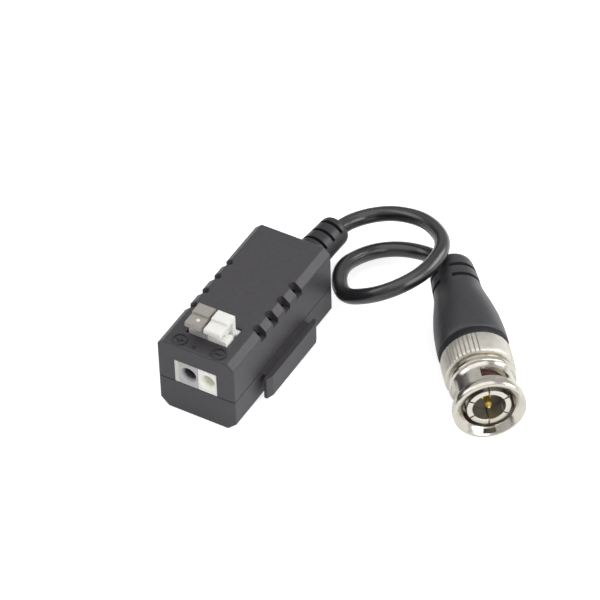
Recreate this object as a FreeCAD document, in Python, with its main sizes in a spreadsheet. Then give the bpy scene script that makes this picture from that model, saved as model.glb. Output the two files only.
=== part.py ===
import FreeCAD, Part
import math
import os
import re

import Sketcher

# A video balun: a small two-part plastic case with two lever terminals at its front (-Y) and, at its
# back (+Y), a short looped coaxial pigtail that ends in a bayonet plug. Z is up, the origin is the
# centre of the case's flat underside, and +X is the side that carries the joining rail.

SIZES = [
    # The case
    ("case_width", 17.25), ("case_length", 38.1), ("case_height", 17.65), ("seam", 7.75),
    ("wall", 1.3), ("top_bevel_x", 1.48), ("top_bevel_z", 1.4), ("base_bevel_x", 1.87),
    ("base_bevel_z", 1.8), ("edge_round", 0.45), ("lap_tall", 0.9), ("lap_thick", 0.6),
    ("lap_gap", 0.05), ("seam_line", 0.2),
    # Openings in the upper half
    ("window_x", -0.1), ("window_width", 9.6), ("window_top", 13.55), ("window_gap", 0.05),
    ("key_slot_left", 0.6), ("key_slot_right", 0.25), ("key_slot_front", 4.2), ("key_slot_length", 5.8),
    ("vent_pitch", 4.6), ("vent_radius", 1.0), ("vent_first", 11.65), ("vent_reach", 2.3),
    ("vent_deep", 2.5),
    # The joining rail on +X and its groove on -X
    ("rail_start", 9.1), ("rail_length", 19.5), ("rail_low", 2.1), ("rail_tall", 5.1),
    ("rail_stand", 1.1), ("rail_thick", 1.2), ("rail_taper", 1.6), ("rail_tip", 0.65),
    ("web_tall", 1.5), ("web_drop", 0.2), ("web_inset", 1.35), ("slide_gap", 0.15), ("groove_skin", 1.0),
    # Circuit board and the screws that clamp it
    ("board_thick", 1.2), ("board_start", 1.7), ("board_back", 6.2), ("board_gap", 0.2),
    ("stand_width", 1.6), ("stand_inset", 0.6), ("stand_y", 2.0),
    ("screw_x", 5.0), ("screw_y", 12.45), ("screw_back_x", 2.6), ("screw_back_y", 8.6),
    ("screw_radius", 0.9), ("screw_gap", 0.05), ("head_radius", 1.6), ("head_tall", 1.2),
    ("boss_wall", 0.6), ("screw_reach", 12.0),
    # Parts on the board
    ("core_x", 1.1), ("core_y", 19.6), ("core_radius", 4.1), ("core_hole", 2.0), ("core_tall", 3.4),
    ("wire_thick", 0.45), ("wire_gap", 0.05), ("wire_reach", 0.6), ("tube_radius", 1.5),
    ("tube_length", 5.4), ("cap_long", 0.8), ("tube_x", -1.2), ("tube_y", 12.45),
    ("film_width", 5.0), ("film_thick", 2.6), ("film_tall", 4.5), ("film_x", 2.6), ("film_y", 8.6),
    ("lead_width", 0.5), ("lead_tail", 1.2), ("lead_inset", 0.8), ("solder_gap", 0.05),
    # The two terminals
    ("block_space", 0.1), ("block_depth", 9.8), ("block_gap", 0.1), ("jaw_front", 4.35),
    ("jaw_top", 18.5), ("jaw_back", 6.85), ("plate_thick", 0.95), ("block_wall", 0.5),
    ("entry_z", 10.6), ("entry_radius", 1.35), ("entry_mouth", 1.85), ("entry_flare", 0.8),
    ("chamber_front", 4.1), ("chamber_back", 9.25), ("chamber_low", 8.7), ("chamber_top", 14.35),
    # Levers
    ("hinge_back", 7.9), ("hinge_z", 16.6), ("barrel", 0.7), ("hinge_gap", 0.05), ("lever_space", 0.62),
    ("pad_front", 2.6), ("pad_top", 21.95), ("pad_step", 0.45), ("step_back", 5.45), ("lip", 1.4),
    ("pad_thick", 1.15), ("spine", 1.1), ("rib_width", 2.6), ("rib_low", 19.1), ("leg_width", 1.0),
    ("leg_back", 5.6), ("leg_thick", 0.8), ("touch_gap", 0.1),
    # Cage clamps and contacts
    ("peg_back", 8.1), ("peg_z", 13.1), ("peg_radius", 0.6), ("leaf_thick", 0.3), ("leaf_gap", 0.15),
    ("leaf_front", 4.5), ("leaf_low", 9.3), ("cage_rim", 0.28), ("cage_low", 10.5), ("cage_top", 13.3),
    ("bar_gap", 0.2), ("bar_thick", 0.5), ("bar_top", 12.4), ("bar_back", 6.9), ("bar_front", 4.2),
    ("pin_width", 0.6), ("pin_low", 5.4),
    # Cable, strain relief and pigtail
    ("cable_radius", 1.45), ("cable_z", 7.5), ("lean", 4.0), ("lean_pivot", 1.9), ("cable_gap", 0.05),
    ("relief_end", 15.25),
    ("relief_base", 4.1), ("relief_waist", 3.4), ("relief_neck", 2.6), ("relief_flange", 3.7),
    ("ring_first", 7.5), ("ring_pitch", 2.85),
    ("ring_wide", 0.75), ("ring_deep", 1.0), ("ring_sweep", 114.0), ("cable_grip", 5.15),
    ("core_wire", 0.25), ("foam_radius", 0.95),
    # The plug: where its mouth is, and stations measured back from the mouth
    ("plug_x", 52.72), ("plug_y", 3.22), ("heading", -51.0), ("rim_radius", 7.25), ("rim_thick", 1.9),
    ("nut_length", 15.0), ("nut_neck", 6.25), ("nut_bore", 5.2), ("mouth_radius", 6.6),
    ("mouth_deep", 1.0), ("shoulder_radius", 6.75), ("shoulder_start", 7.4), ("shoulder_end", 8.6),
    ("knurl_start", 9.9), ("knurl_radius", 7.1), ("flute_wide", 0.34), ("flute_deep", 0.2),
    ("flute_step", 5.6), ("flutes", 11), ("window_front", 3.6), ("window_back", 6.0), ("window_sweep", 61.0),
    ("window_turn", 128.0), ("notch_width", 2.4), ("notch_radius", 5.85), ("notch_deep", 3.6),
    ("cam_turn", 24.0), ("cam_rise", 0.6), ("cam_steps", 3),
    ("rib_front", 11.0), ("rib_back", 12.2), ("rear_bore", 5.6), ("turn_gap", 0.05),
    # The plug's body, contacts, gasket and washers
    ("shell_radius", 4.2), ("barrel_radius", 4.0), ("shell_bore", 3.3), ("shell_front", 1.0),
    ("slit_end", 7.6), ("slit", 0.35), ("slits", 6), ("slit_turn", 3.75), ("flange_front", 8.3), ("flange_back", 9.3), ("flange_radius", 5.0),
    ("tail_start", 13.4), ("tail_radius", 3.6), ("tail_end", 19.0), ("spigot_radius", 1.4),
    ("spigot_end", 26.0), ("dielectric_front", 4.2), ("dielectric_back", 12.0), ("dielectric_gap", 0.05),
    ("pin_radius", 0.675), ("pin_body", 0.95), ("pin_front", 1.1), ("pin_taper", 0.8), ("pin_end", 16.0),
    ("gasket_front", 5.2),
    ("gasket_radius", 5.05), ("washer_thick", 0.4), ("wave_thick", 0.35), ("washer_radius", 5.0),
    ("washer_gap", 0.1), ("ring_groove", 0.35), ("ring_outer", 4.9), ("ring_thick", 0.5),
    ("braid_thick", 0.35), ("ferrule_thick", 0.45), ("ferrule_start", 20.0), ("ferrule_end", 27.0),
    # The boot
    ("boot_front", 15.4), ("boot_end", 41.2), ("boot_bell", 7.15), ("boot_waist", 4.85),
    ("boot_tip", 4.6), ("bell_long", 6.0), ("waist_long", 17.4), ("tip_long", 1.5),
    ("slot_first", 34.3), ("slot_pitch", 3.1), ("slot_wide", 0.9), ("slot_deep", 1.3),
    ("slot_sweep", 148.0), ("slot_turn", 45.0), ("boot_grip", 36.1),
]

# The cable's route from inside the strain relief, round its loop, to inside the boot
ROUTE = [
    (5.17, 40.52, 7.28), (10.47, 42.94, 9.36), (18.01, 41.39, 11.54), (26.12, 34.95, 13.14),
    (26.86, 26.41, 13.52), (23.50, 20.83, 13.13), (18.57, 17.85, 9.99), (10.23, 19.28, 5.80),
    (5.11, 26.92, 5.02), (7.71, 35.55, 3.05), (12.69, 39.57, 2.97), (19.04, 39.97, 3.71),
]
ROUTE_LEAVES_RELIEF = 16.11
ROUTE_MEETS_PLUG = 42.1
SIDES = 12

doc = FreeCAD.newDocument("balun")
dims = doc.addObject("Spreadsheet::Sheet", "dims")
for row, (alias, value) in enumerate(SIZES, 1):
    dims.set(f"A{row}", alias)
    dims.set(f"B{row}", str(value))
    dims.setAlias(f"B{row}", alias)
doc.recompute()
ALIASES = {alias for alias, value in SIZES}
nodes = []


# Helpers: expressions on the sheet, primitives, profiles and booleans
def sized(text):
    return re.sub(r"[a-z]+(_[a-z]+)*", lambda m: "dims." + m[0] if m[0] in ALIASES else m[0], text)


def place(item, x="0", y="0", z="0", yaw="0", pitch="0", roll="0"):
    spot = f"placement(vector({x}; {y}; {z}); rotation({yaw}; {pitch}; {roll}))"
    item.setExpression("Placement", sized(spot))
    return item


def primitive(kind, name, where, **lengths):
    item = doc.addObject("Part::" + kind, name)
    for prop, text in lengths.items():
        item.setExpression(prop, sized(text))
    return place(item, *where)


def box(name, x, y, z, length, width, height):
    return primitive("Box", name, (x, y, z), Length=length, Width=width, Height=height)


def middle_box(name, x, y, z, length, width, height):
    return box(name, f"{x} - ({length}) / 2", f"{y} - ({width}) / 2", z, length, width, height)


def rod(name, x, y, z, radius, height, yaw="0", pitch="0"):
    return primitive("Cylinder", name, (x, y, z, yaw, pitch), Radius=radius, Height=height)


def sketch_of(body, role, corners, name):
    plane = next(f for f in body.Origin.OriginFeatures if f.Role == role)
    sketch = body.newObject("Sketcher::SketchObject", name)
    sketch.AttachmentSupport = [(plane, "")]
    sketch.MapMode = "FlatFace"
    count = len(corners)
    for i in range(count):
        start = FreeCAD.Vector(i + 1, i * i, 0)
        end = FreeCAD.Vector(i + 2, (i + 1) ** 2, 0)
        sketch.addGeometry(Part.LineSegment(start, end), False)
    for i in range(count):
        sketch.addConstraint(Sketcher.Constraint("Coincident", i, 2, (i + 1) % count, 1))
    for i, corner in enumerate(corners):
        for kind, text in zip(("DistanceX", "DistanceY"), corner):
            spot = sketch.addConstraint(Sketcher.Constraint(kind, -1, 1, i, 1, 1.0 + i))
            sketch.setExpression(f"Constraints[{spot}]", sized(text))
    return sketch


def turned(name, corners):
    body = doc.addObject("PartDesign::Body", name)
    sketch = sketch_of(body, "XZ_Plane", corners, name + "_outline")
    turn = body.newObject("PartDesign::Revolution", name + "_turn")
    turn.Profile = sketch
    turn.ReferenceAxis = (sketch, ["V_Axis"])
    turn.Angle = 360
    return body


def extruded(name, role, corners, length):
    body = doc.addObject("PartDesign::Body", name)
    sketch = sketch_of(body, role, corners, name + "_outline")
    pad = body.newObject("PartDesign::Pad", name + "_pad")
    pad.Profile = sketch
    pad.Midplane = True
    pad.setExpression("Length", sized(length))
    return body


def rounded(body, radius, flat):
    """Rounds every edge of a body but those in the level plane at height flat."""
    doc.recompute()
    solid = body.Tip
    height = dims.get(flat)
    edges = [f"Edge{i}" for i, edge in enumerate(solid.Shape.Edges, 1)
             if any(abs(end.Z - height) > 0.001 for end in edge.Vertexes)]
    fillet = body.newObject("PartDesign::Fillet", body.Name + "_fillet")
    fillet.Base = (solid, edges)
    fillet.setExpression("Radius", sized(radius))
    return body


def fused(name, *items):
    item = doc.addObject("Part::MultiFuse", name)
    item.Shapes = list(items)
    return item


def cut(name, base, *tools):
    item = doc.addObject("Part::Cut", name)
    item.Base = base
    item.Tool = tools[0] if len(tools) == 1 else fused(name + "_tools", *tools)
    return item


def ring_part(name, along, wide, inner_radius, outer_radius, start, sweep):
    low = f"{along} - ({wide}) / 2"
    outer = rod(name + "_outer", "0", "0", low, outer_radius, wide, start)
    outer.setExpression("Angle", sized(sweep))
    inner = rod(name + "_inner", "0", "0", f"{low} - 0.5", inner_radius, f"{wide} + 1")
    return cut(name, outer, inner)


def keep(item, label):
    item.Label = label
    nodes.append(item)
    return item


# Places that several pieces share
FRONT = "-case_length / 2"
BACK = "case_length / 2"
BOARD_TOP = "seam + block_gap"
BOARD_LOW = "seam + block_gap - board_thick"
GROOVE_DEPTH = "rail_stand + rail_thick + slide_gap"
INNER_LEFT = f"-case_width / 2 + {GROOVE_DEPTH} + groove_skin"
INNER_RIGHT = "case_width / 2 - wall"
CEILING = "case_height - wall"
BOARD_LEFT = f"{INNER_LEFT} + board_gap"
BOARD_RIGHT = f"{INNER_RIGHT} - board_gap"
BOARD_BACK = f"{BACK} - board_back"
SCREWS = [("front", "screw_x", f"{FRONT} + screw_y"), ("back", "-screw_back_x", f"{BACK} - screw_back_y")]
STANDS = [("left", f"{BOARD_LEFT} + stand_inset", f"{FRONT} + board_start + stand_y"),
          ("right", f"{BOARD_RIGHT} - stand_inset", f"{FRONT} + board_start + stand_y"),
          ("back", f"{BOARD_RIGHT} - stand_inset", f"{BOARD_BACK} - stand_y")]
CORE_Y = f"{FRONT} + core_y"
TUBE_Y = f"{FRONT} + tube_y"
FILM_Y = f"{BACK} - film_y"
WINDOW_LEFT = "window_x - window_width / 2 + window_gap"
WINDOW_RIGHT = "window_x + window_width / 2 - window_gap"
PITCH = "((window_width - plate_thick) / 2 - window_gap)"
BLOCK_WIDTH = f"({PITCH} - block_space)"
LEVER_WIDTH = f"({PITCH} - lever_space)"
CHAMBER_WIDTH = f"({BLOCK_WIDTH} - 2 * block_wall)"
LEAF_WIDTH = f"({CHAMBER_WIDTH} - 2 * leaf_gap)"
CAGE_WIDTH = f"({LEAF_WIDTH} - 2 * cage_rim)"
TERMINALS = [("gray", f"{WINDOW_LEFT} + plate_thick + {PITCH} / 2"),
             ("white", f"{WINDOW_LEFT} + plate_thick + {PITCH} * 3 / 2")]
CABLE = ("-tan(lean) * lean_pivot", "case_length / 2", "cable_z", "90 - lean", "90")
PLUG = ("plug_x", "plug_y", "rim_radius", "heading", "90")


# Case halves: bevelled shells that lap at the seam
def cable_hole(name):
    x = f"{CABLE[0]} - sin(lean) * wall * 3"
    y = f"{CABLE[1]} - cos(lean) * wall * 3"
    return rod(name, x, y, "cable_z", "relief_neck + cable_gap", "wall * 6", CABLE[3], CABLE[4])


def seam_block(name, reach, low, high):
    side = f"case_width - 2 * (wall - ({reach}))"
    length = f"case_length - 2 * (wall - ({reach}))"
    return middle_box(name, "0", "0", low, side, length, f"{high} - ({low})")


def upper_case():
    half = "case_width / 2"
    shell = extruded("upper_shell", "XZ_Plane", [
        (f"-{half}", "seam"), (half, "seam"), (half, "case_height - top_bevel_z"),
        (f"{half} - top_bevel_x", "case_height"), (f"-{half} + top_bevel_x", "case_height"),
        (f"-{half}", "case_height - top_bevel_z")], "case_length")
    rounded(shell, "edge_round", "seam")
    hollow = extruded("upper_hollow", "XZ_Plane", [
        (f"-{half} + wall", "seam - 1"), (f"{half} - wall", "seam - 1"),
        (f"{half} - wall", "case_height - wall - top_bevel_z"),
        (f"{half} - wall - top_bevel_x", "case_height - wall"),
        (f"-{half} + wall + top_bevel_x", "case_height - wall"),
        (f"-{half} + wall", "case_height - wall - top_bevel_z")], "case_length - 2 * wall")
    window = middle_box("window", "window_x", f"{FRONT}", "seam - 1", "window_width", "wall * 2.5",
                        "window_top - seam + 1")
    left = f"{WINDOW_LEFT} + plate_thick - key_slot_left"
    key_slot = box("key_slot", left, f"{FRONT} + key_slot_front", "case_height - wall * 2",
                   f"{WINDOW_RIGHT} + key_slot_right - ({left})", "key_slot_length", "wall * 3")
    vents = []
    for side, sign in (("left", "-"), ("right", "")):
        for i in range(4):
            y = f"{FRONT} + vent_first + vent_pitch * {i}"
            x = f"{sign}(case_width / 2 - vent_reach + vent_radius)"
            name = f"vent_{side}_{i}"
            low = "case_height - vent_deep"
            end = rod(name + "_end", x, y, low, "vent_radius", "vent_deep + 1")
            run = middle_box(name + "_run", f"{sign}(case_width / 2 + 1)", y, low,
                             "2 * (vent_reach - vent_radius + 1)", "vent_radius * 2", "vent_deep + 1")
            vents += [end, run]
    rebate = seam_block("rebate", "lap_thick + lap_gap", "seam - 1", "seam + lap_tall + lap_gap")
    band = middle_box("seam_band", "0", "0", "seam - 1", "case_width + 2", "case_length + 2",
                      "seam_line + 1")
    core = middle_box("seam_core", "0", "0", "seam - 2", "case_width - 2 * seam_line",
                      "case_length - 2 * seam_line", "seam_line + 4")
    line = cut("seam_groove", band, core)
    shell = cut("upper_open", shell, hollow, rebate, line, window, key_slot, cable_hole("upper_cable_hole"),
                *vents)
    bosses = []
    for name, x, y in SCREWS:
        side = "2 * (screw_radius + screw_gap + boss_wall)"
        post = middle_box(f"upper_boss_{name}", x, y, BOARD_TOP, side, side,
                          f"{CEILING} - ({BOARD_TOP}) + 0.2")
        pilot = rod(f"upper_pilot_{name}", x, y, f"{BOARD_TOP} - 0.5", "screw_radius + screw_gap",
                    f"screw_reach - ({BOARD_TOP}) + 1")
        bosses.append(cut(f"upper_post_{name}", post, pilot))
    keep(fused("upper_case_body", shell, *bosses), "upper_case")


def lower_case():
    half = "case_width / 2"
    shell = extruded("lower_shell", "XZ_Plane", [
        (f"-{half}", "base_bevel_z"), (f"-{half} + base_bevel_x", "0"), (f"{half} - base_bevel_x", "0"),
        (half, "base_bevel_z"), (half, "seam"), (f"-{half}", "seam")], "case_length")
    rounded(shell, "edge_round", "seam")
    hollow = extruded("lower_hollow", "XZ_Plane", [
        (INNER_LEFT, "wall"), ("case_width / 2 - wall - base_bevel_x", "wall"),
        (INNER_RIGHT, "wall + base_bevel_z"), (INNER_RIGHT, "seam + 1"), (INNER_LEFT, "seam + 1")],
        "case_length - 2 * wall")
    posts = []
    for name, x, y in SCREWS:
        side = "2 * (head_radius + boss_wall)"
        posts.append(middle_box(f"lower_boss_{name}", x, y, "wall - 0.1", side, side,
                                f"{BOARD_LOW} - wall + 0.1"))
    for name, x, y in STANDS:
        posts.append(middle_box(f"stand_{name}", x, y, "wall - 0.1", "stand_width", "stand_width",
                                f"{BOARD_LOW} - wall + 0.1"))
    holes = [cable_hole("lower_cable_hole")]
    for name, x, y in SCREWS:
        holes.append(rod(f"screw_hole_{name}", x, y, "-1", "screw_radius + screw_gap * 2", "seam + 1"))
        holes.append(rod(f"head_hole_{name}", x, y, "-1", "head_radius + screw_gap * 2",
                         "head_tall + 0.25 + 1"))
    web_z = "rail_low + rail_tall - web_drop - web_tall"
    holes.append(box("groove_plate", f"-{half} + rail_stand - slide_gap", f"{FRONT} + rail_start - slide_gap",
                     "rail_low - slide_gap", "rail_thick + 2 * slide_gap",
                     "case_length", "rail_tall + 2 * slide_gap"))
    holes.append(box("groove_web", f"-{half} - 1", f"{FRONT} + rail_start - slide_gap",
                     f"{web_z} - slide_gap", "rail_stand + 1", "case_length",
                     "web_tall + web_drop + 2 * slide_gap"))
    tongue = cut("tongue", seam_block("tongue_outer", "lap_thick", "seam - 0.2", "seam + lap_tall"),
                 seam_block("tongue_inner", "0", "seam - 1", "seam + lap_tall + 1"),
                 middle_box("tongue_gate", "window_x", FRONT, "seam", "window_width + 4 * lap_gap",
                            "wall * 2.5", "lap_tall + 1"))
    carrier = fused("lower_carrier", cut("lower_open", shell, hollow), tongue, *posts)
    body = cut("lower_cut", carrier, *holes)
    near = f"{half} + rail_stand"
    far = f"{near} + rail_thick"
    start = f"{FRONT} + rail_start"
    plate = extruded("rail_plate", "XY_Plane", [
        (near, start), (f"{near} + rail_tip", start), (far, f"{start} + rail_taper"),
        (far, f"{start} + rail_length - rail_taper * 0.7"), (f"{near} + rail_tip", f"{start} + rail_length"),
        (near, f"{start} + rail_length")], "rail_tall")
    place(plate, z="rail_low + rail_tall / 2")
    web = box("rail_web", f"{half} - 0.3", f"{start} + web_inset", web_z, "rail_stand + 0.6",
              "rail_length - 2 * web_inset", "web_tall")
    keep(fused("lower_case_body", body, plate, web), "lower_case")


# Circuit board with its screws, transformer, surge tube and film capacitor
def lead_pair(name, x, y, dx, dy, top):
    ends = []
    for i, sign in enumerate(("-", "+")):
        ends.append(middle_box(f"{name}_lead_{i}", f"{x} {sign} ({dx})", f"{y} {sign} ({dy})",
                               f"{BOARD_LOW} - lead_tail", "lead_width", "lead_width",
                               f"{top} - ({BOARD_LOW}) + lead_tail"))
    return ends


LEADS = [("core_x", CORE_Y, "core_radius + wire_gap + wire_thick + wire_reach", "0"),
         ("tube_x", TUBE_Y, "tube_length / 2 - cap_long / 2", "0"),
         ("film_x", FILM_Y, "film_width / 2 - lead_inset", "0")]


def circuit_board():
    board = box("board_blank", BOARD_LEFT, f"{FRONT} + board_start", BOARD_LOW,
                f"{BOARD_RIGHT} - ({BOARD_LEFT})", "case_length - board_start - board_back", "board_thick")
    low = f"{BOARD_LOW} - 1"
    holes = [rod(f"board_screw_{name}", x, y, low, "screw_radius + screw_gap * 2", "board_thick + 2")
             for name, x, y in SCREWS]
    for i, (x, y, dx, dy) in enumerate(LEADS):
        for j, sign in enumerate(("-", "+")):
            side = "lead_width + 2 * solder_gap"
            holes.append(middle_box(f"board_lead_{i}{j}", f"{x} {sign} ({dx})", f"{y} {sign} ({dy})", low,
                                    side, side, "board_thick + 2"))
    for name, x in TERMINALS:
        holes.append(middle_box(f"board_pin_{name}", x, f"{FRONT} + bar_back - bar_thick / 2", low,
                                "pin_width + 2 * solder_gap", "bar_thick + 2 * solder_gap",
                                "board_thick + 2"))
    keep(cut("circuit_board_body", board, *holes), "circuit_board")
    for name, x, y in SCREWS:
        head = rod(f"head_{name}", "0", "0", "0.25", "head_radius", "head_tall")
        shank = rod(f"shank_{name}", "0", "0", "0.25 + head_tall / 2", "screw_radius",
                    "screw_reach - 0.25 - head_tall / 2")
        slot = middle_box(f"drive_{name}", "0", "0", "0", "head_radius * 1.6", "0.4", "0.25 + head_tall * 0.4")
        keep(place(cut(f"screw_{name}_body", fused(f"screw_{name}_blank", head, shank), slot), x, y),
             f"screw_{name}")


def transformer():
    low = f"{BOARD_TOP} + wire_thick + wire_gap"
    core = rod("core_disc", "core_x", CORE_Y, low, "core_radius", "core_tall")
    hole = rod("core_hole_cut", "core_x", CORE_Y, f"{low} - 1", "core_hole", "core_tall + 2")
    keep(cut("core_body", core, hole), "transformer_core")
    turns = []
    inner_end = "core_hole - 2 * wire_gap"
    inner_long = "core_radius + wire_gap - core_hole + 2 * wire_gap"
    for start in (30, 210):
        for i in range(4):
            name = f"turn_{start + i}"
            outer = box(name + "_outer", f"{inner_end} - wire_thick", "-wire_thick / 2",
                        "-wire_thick - wire_gap", f"{inner_long} + 2 * wire_thick", "wire_thick",
                        "core_tall + 2 * (wire_thick + wire_gap)")
            inner = box(name + "_inner", inner_end, "-wire_thick", "-wire_gap", inner_long,
                        "2 * wire_thick", "core_tall + 2 * wire_gap")
            turns.append(place(cut(name, outer, inner), "core_x", CORE_Y, low, str(start + i * 40)))
    rim = "core_radius + wire_gap + wire_thick"
    band = cut("winding_band", rod("band_outer", "core_x", CORE_Y, BOARD_TOP, rim, "wire_thick"),
               rod("band_inner", "core_x", CORE_Y, f"{BOARD_TOP} - 1", "core_radius - wire_thick",
                   "wire_thick + 2"))
    feet = []
    for i, sign in enumerate(("-", "+")):
        x = f"core_x {sign} ({rim} + wire_reach / 2)"
        feet.append(middle_box(f"winding_foot_{i}", x, CORE_Y, BOARD_TOP, "wire_reach + lead_width",
                               "lead_width", "wire_thick"))
    tails = lead_pair("winding", *LEADS[0], f"{BOARD_TOP} + wire_thick")
    keep(fused("winding_body", band, *turns, *tails, *feet), "transformer_winding")


def surge_tube():
    z = f"{BOARD_TOP} + tube_radius + 0.1"
    start = "tube_x - tube_length / 2"
    tube = rod("tube_glass", f"{start} + cap_long", TUBE_Y, z, "tube_radius", "tube_length - 2 * cap_long",
               "0", "90")
    caps = [rod(f"tube_cap_{i}", f"{start} + {i} * (tube_length - cap_long)", TUBE_Y, z,
                "tube_radius + 0.1", "cap_long", "0", "90") for i in range(2)]
    leads = lead_pair("tube", *LEADS[1], z)
    keep(fused("surge_tube_body", tube, *caps, *leads), "surge_tube")


def film_capacitor():
    case = middle_box("film_case", "film_x", FILM_Y, f"{BOARD_TOP} + 0.1", "film_width", "film_thick",
                      "film_tall")
    leads = lead_pair("film", *LEADS[2], f"{BOARD_TOP} + 0.5")
    keep(fused("film_body", case, *leads), "film_capacitor")


# Terminals: block, end plate, lever, cage clamp and contact, drawn from the case's front face back
def at_terminal(item, x):
    return place(item, x, FRONT)


def block(name, x):
    pocket = "barrel + hinge_gap"
    blank = extruded(f"block_{name}_blank", "YZ_Plane", [
        ("block_gap", BOARD_TOP), ("block_depth", BOARD_TOP), ("block_depth", "hinge_z + 0.6"),
        (f"hinge_back + {pocket}", "hinge_z + 0.6"), (f"hinge_back + {pocket}", f"hinge_z - ({pocket})"),
        (f"hinge_back - ({pocket})", f"hinge_z - ({pocket})"), (f"hinge_back - ({pocket})", "hinge_z + barrel"),
        ("jaw_back", "hinge_z + barrel"), ("jaw_back", "jaw_top"), ("jaw_front", "jaw_top"),
        ("jaw_front", "window_top - block_gap"), ("block_gap", "window_top - block_gap")], BLOCK_WIDTH)
    bore = rod(f"entry_{name}", "0", "0", "entry_z", "entry_radius", "chamber_front + 1", "90", "90")
    flare = primitive("Cone", f"flare_{name}", ("0", "block_gap", "entry_z", "90", "90"),
                      Radius1="entry_mouth", Radius2="entry_radius", Height="entry_flare")
    chamber = box(f"chamber_{name}", f"-{CHAMBER_WIDTH} / 2", "chamber_front", "chamber_low", CHAMBER_WIDTH,
                  "chamber_back - chamber_front", "chamber_top - chamber_low")
    slot = box(f"leg_slot_{name}", "-leg_width / 2 - 0.15", "leg_back - leg_thick / 2 - 0.35",
               "chamber_top - 0.5", "leg_width + 0.3", "leg_thick + 0.8", "jaw_top - chamber_top + 1")
    pin_hole = middle_box(f"pin_hole_{name}", "0", "bar_back - bar_thick / 2", "seam - 1",
                          "pin_width + 2 * solder_gap", "bar_thick + 2 * solder_gap",
                          "chamber_low - seam + 1.5")
    hollow = cut(f"block_{name}_hollow", blank, bore, flare, chamber, slot, pin_hole)
    peg = rod(f"peg_{name}", f"-{CHAMBER_WIDTH} / 2 - 0.2", "peg_back", "peg_z", "peg_radius",
              f"{CHAMBER_WIDTH} + 0.4", "0", "90")
    keep(at_terminal(fused(f"block_{name}_body", hollow, peg), x), f"block_{name}")


def lever(name, x):
    back = "hinge_back + spine / 2"
    front = "hinge_back - spine / 2"
    top = "pad_top + pad_step"
    arm = extruded(f"lever_{name}_arm", "YZ_Plane", [
        (front, "hinge_z"), (front, f"{top} - pad_thick"), ("pad_front + 0.4", "pad_top - lip"),
        ("pad_front", "pad_top - lip + 0.4"), ("pad_front", "pad_top - 0.2"), ("pad_front + 0.2", "pad_top"),
        ("step_back", "pad_top"), ("step_back + 0.15", top), (f"{back} - 0.2", top),
        (back, f"{top} - 0.2"), (back, "hinge_z")], LEVER_WIDTH)
    pivot = rod(f"barrel_{name}", f"-{LEVER_WIDTH} / 2", "hinge_back", "hinge_z", "barrel", LEVER_WIDTH,
                "0", "90")
    rib = box(f"rib_{name}", "-rib_width / 2", "leg_back - leg_thick / 2", "rib_low", "rib_width",
              "hinge_back - leg_back + leg_thick / 2", f"{top} - pad_thick / 2 - rib_low")
    leg_low = "peg_z + peg_radius + hinge_gap + leaf_thick + touch_gap + leg_thick / 2"
    leg = box(f"leg_{name}", "-leg_width / 2", "leg_back - leg_thick / 2", leg_low, "leg_width", "leg_thick",
              f"rib_low - ({leg_low}) + 0.5")
    nose = rod(f"nose_{name}", "-leg_width / 2", "leg_back", leg_low, "leg_thick / 2", "leg_width",
               "0", "90")
    eye = rod(f"eye_{name}", f"-{LEVER_WIDTH} / 2", "hinge_back - 1.3", "rib_low + 0.9", "0.4", LEVER_WIDTH,
              "0", "90")
    whole = fused(f"lever_{name}_whole", arm, pivot, rib, leg, nose)
    keep(at_terminal(cut(f"lever_{name}_body", whole, eye), x), f"lever_{name}")


def clamp(name, x):
    top = "peg_z + peg_radius + hinge_gap + leaf_thick"
    blade = extruded(f"leaf_{name}", "YZ_Plane", [
        ("leaf_front", "leaf_low"), ("leaf_front + leaf_thick", "leaf_low"),
        ("leaf_front + leaf_thick", f"{top} - leaf_thick"), ("peg_back", f"{top} - leaf_thick"),
        ("peg_back", top), ("leaf_front", top)], LEAF_WIDTH)
    coil = rod(f"coil_{name}", f"-{LEAF_WIDTH} / 2", "peg_back", "peg_z",
               "peg_radius + hinge_gap + leaf_thick", LEAF_WIDTH, "0", "90")
    eye = rod(f"coil_eye_{name}", f"-{LEAF_WIDTH}", "peg_back", "peg_z", "peg_radius + hinge_gap",
              f"{LEAF_WIDTH} * 2", "0", "90")
    cage = middle_box(f"cage_{name}", "0", "leaf_front", "cage_low", CAGE_WIDTH, "leaf_thick * 3",
                      "cage_top - cage_low")
    strip = fused(f"clamp_{name}_strip", blade, coil)
    keep(at_terminal(cut(f"clamp_{name}_body", strip, eye, cage), x), f"clamp_{name}")


def contact(name, x):
    width = f"{CAGE_WIDTH} - 2 * bar_gap"
    bar = middle_box(f"bar_{name}", "0", "(bar_front + bar_back) / 2", "bar_top - bar_thick", width,
                     "bar_back - bar_front", "bar_thick")
    stem = middle_box(f"stem_{name}", "0", "bar_back - bar_thick / 2", "chamber_low + 0.1", width,
                      "bar_thick", "bar_top - chamber_low - 0.1")
    pin = middle_box(f"pin_{name}", "0", "bar_back - bar_thick / 2", "pin_low", "pin_width", "bar_thick",
                     "chamber_low + 0.2 - pin_low")
    keep(at_terminal(fused(f"contact_{name}_body", bar, stem, pin), x), f"contact_{name}")


def end_plate():
    keep(box("end_plate_body", WINDOW_LEFT, f"{FRONT} + block_gap", BOARD_TOP,
             "plate_thick", "block_depth - block_gap", f"window_top - block_gap - ({BOARD_TOP})"), "end_plate")


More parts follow.
